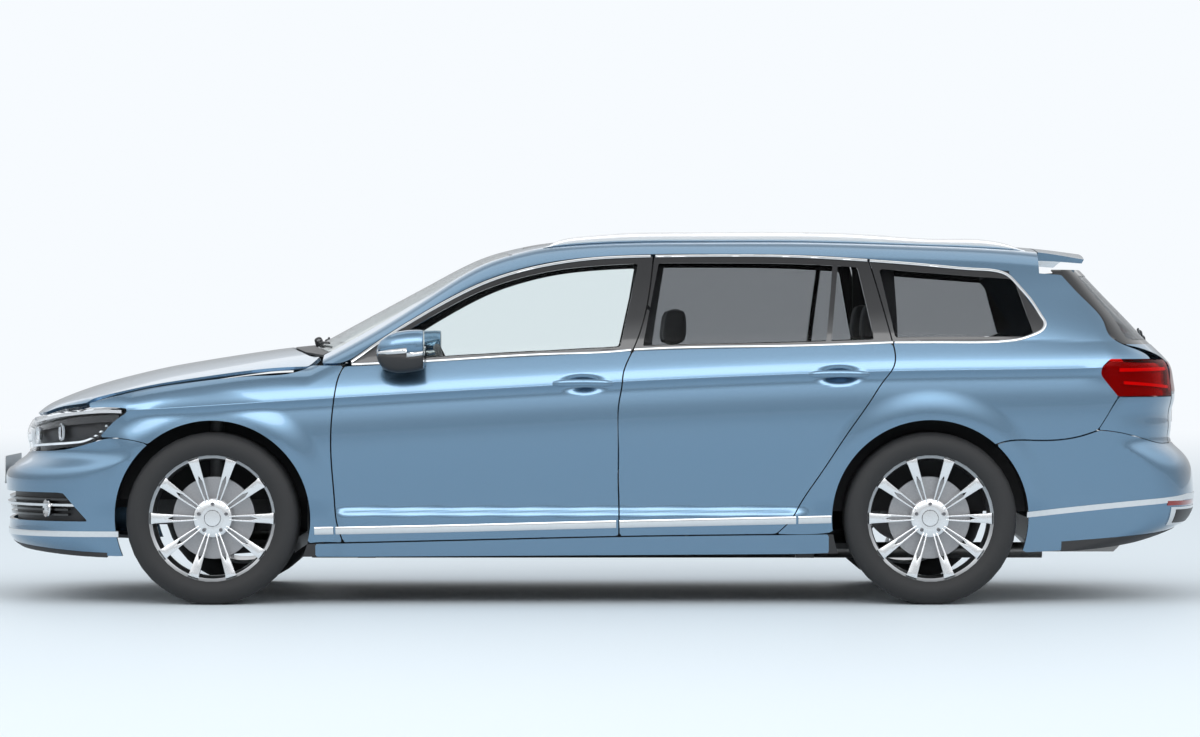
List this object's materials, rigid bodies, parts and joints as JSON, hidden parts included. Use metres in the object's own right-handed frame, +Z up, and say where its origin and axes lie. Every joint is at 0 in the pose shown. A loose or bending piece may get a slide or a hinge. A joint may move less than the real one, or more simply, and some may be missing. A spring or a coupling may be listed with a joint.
{
  "type": "station wagon",
  "caption": "Five-door station wagon with opening doors, bonnet and tailgate, steered front wheels and turning wheels, hollow cabin and load space, roof rails and alloy wheels.",
  "frame": {"origin": "on the ground under the middle of the overall length, on the centre plane", "axes": "+X from nose to tail, +Y to the car's right-hand side, +Z up"},
  "size_m": [4.7663, 2.072, 1.4551],
  "materials": {
    "alloy": "machined and lacquered light alloy",
    "black_plastic": "grained black plastic",
    "body_paint": "metallic mid blue under clear lacquer",
    "cabin_trim": "soft dark cabin trim",
    "gloss_black": "gloss black plastic",
    "iron": "cast metal",
    "lamp_glass": "clear lamp lens over dark housing",
    "privacy_glass": "dark tinted rear glass",
    "rail_metal": "satin anodised aluminium",
    "seat_cloth": "dark leather",
    "steel": "bare and coated steel",
    "tail_glass": "red lamp lens",
    "tyre_rubber": "black rubber",
    "window_glass": "lightly tinted side and front glass"
  },
  "bodies": {
    "body": {"bulkhead": "body_paint", "dashboard": "cabin_trim", "engine_block": "iron", "exhaust": "steel", "floor_pan": "body_paint", "front_bumper": "body_paint", "front_frame": "body_paint", "front_seats": "seat_cloth", "front_subframe": "steel", "front_wheelhouses": "black_plastic", "grille": "gloss_black", "headlamps": "lamp_glass", "intake_grille": "gloss_black", "quarter_glass": "privacy_glass", "quarter_panel_left": "body_paint", "quarter_panel_right": "body_paint", "rear_axle": "steel", "rear_bumper": "body_paint", "rear_seat": "seat_cloth", "rear_wheelhouses": "black_plastic", "roof_panel": "body_paint", "roof_rails": "rail_metal", "roof_side_left": "body_paint", "roof_side_right": "body_paint", "side_frame_left": "body_paint", "side_frame_right": "body_paint", "sunroof_glass": "privacy_glass", "tail_lamps": "tail_glass", "windscreen": "window_glass", "wing_left": "body_paint", "wing_right": "body_paint"},
    "front_door_left": {"front_door_left": "body_paint", "front_door_glass_left": "window_glass", "mirror_left": "body_paint"},
    "rear_door_left": {"rear_door_left": "body_paint", "rear_door_glass_left": "privacy_glass"},
    "knuckle_left": {"knuckle_left": "steel"},
    "wheel_front_left": {"rim_front_left": "alloy", "tyre_front_left": "tyre_rubber"},
    "wheel_rear_left": {"rim_rear_left": "alloy", "tyre_rear_left": "tyre_rubber"},
    "front_door_right": {"front_door_right": "body_paint", "front_door_glass_right": "window_glass", "mirror_right": "body_paint"},
    "rear_door_right": {"rear_door_right": "body_paint", "rear_door_glass_right": "privacy_glass"},
    "knuckle_right": {"knuckle_right": "steel"},
    "wheel_front_right": {"rim_front_right": "alloy", "tyre_front_right": "tyre_rubber"},
    "wheel_rear_right": {"rim_rear_right": "alloy", "tyre_rear_right": "tyre_rubber"},
    "bonnet": {"bonnet": "body_paint"},
    "tailgate": {"tailgate": "body_paint", "tailgate_glass": "privacy_glass"},
    "steering_wheel": {"steering_wheel": "cabin_trim"}
  },
  "joints": [
    {"name": "steer_left", "type": "hinge", "parent": "body", "child": "knuckle_left", "pos_m": [-1.5015, -0.712, 0.3353], "axis": [0, 0, 1], "range_deg": [-35, 35]},
    {"name": "wheel_front_left_spin", "type": "hinge", "parent": "knuckle_left", "child": "wheel_front_left", "pos_m": [-1.5015, -0.792, 0.3353], "axis": [0, 1, 0], "continuous": true},
    {"name": "wheel_rear_left_spin", "type": "hinge", "parent": "body", "child": "wheel_rear_left", "pos_m": [1.2895, -0.784, 0.3353], "axis": [0, 1, 0], "continuous": true},
    {"name": "front_door_left_hinge", "type": "hinge", "parent": "body", "child": "front_door_left", "pos_m": [-0.975, -0.902, 0.6], "axis": [0, 0, 1], "range_deg": [-68, 0]},
    {"name": "rear_door_left_hinge", "type": "hinge", "parent": "body", "child": "rear_door_left", "pos_m": [0.137, -0.902, 0.6], "axis": [0, 0, 1], "range_deg": [-68, 0]},
    {"name": "steer_right", "type": "hinge", "parent": "body", "child": "knuckle_right", "pos_m": [-1.5015, 0.712, 0.3353], "axis": [0, 0, 1], "range_deg": [-35, 35]},
    {"name": "wheel_front_right_spin", "type": "hinge", "parent": "knuckle_right", "child": "wheel_front_right", "pos_m": [-1.5015, 0.792, 0.3353], "axis": [0, 1, 0], "continuous": true},
    {"name": "wheel_rear_right_spin", "type": "hinge", "parent": "body", "child": "wheel_rear_right", "pos_m": [1.2895, 0.784, 0.3353], "axis": [0, 1, 0], "continuous": true},
    {"name": "front_door_right_hinge", "type": "hinge", "parent": "body", "child": "front_door_right", "pos_m": [-0.975, 0.902, 0.6], "axis": [0, 0, 1], "range_deg": [0, 68]},
    {"name": "rear_door_right_hinge", "type": "hinge", "parent": "body", "child": "rear_door_right", "pos_m": [0.137, 0.902, 0.6], "axis": [0, 0, 1], "range_deg": [0, 68]},
    {"name": "bonnet_hinge", "type": "hinge", "parent": "body", "child": "bonnet", "pos_m": [-1.105, 0, 0.962], "axis": [0, 1, 0], "range_deg": [0, 50]},
    {"name": "tailgate_hinge", "type": "hinge", "parent": "body", "child": "tailgate", "pos_m": [1.7595, 0, 1.3835], "axis": [0, 1, 0], "range_deg": [-85, 0]},
    {"name": "steering_wheel_turn", "type": "hinge", "parent": "body", "child": "steering_wheel", "pos_m": [-0.5715, -0.37, 0.83], "axis": [0.9135, 0, 0.4067], "range_deg": [-500, 500]}
  ],
  "couplings": [
    {"joint": "steer_right", "follows": "steer_left", "ratio": 1},
    {"joint": "steering_wheel_turn", "follows": "steer_left", "ratio": 14}
  ]
}
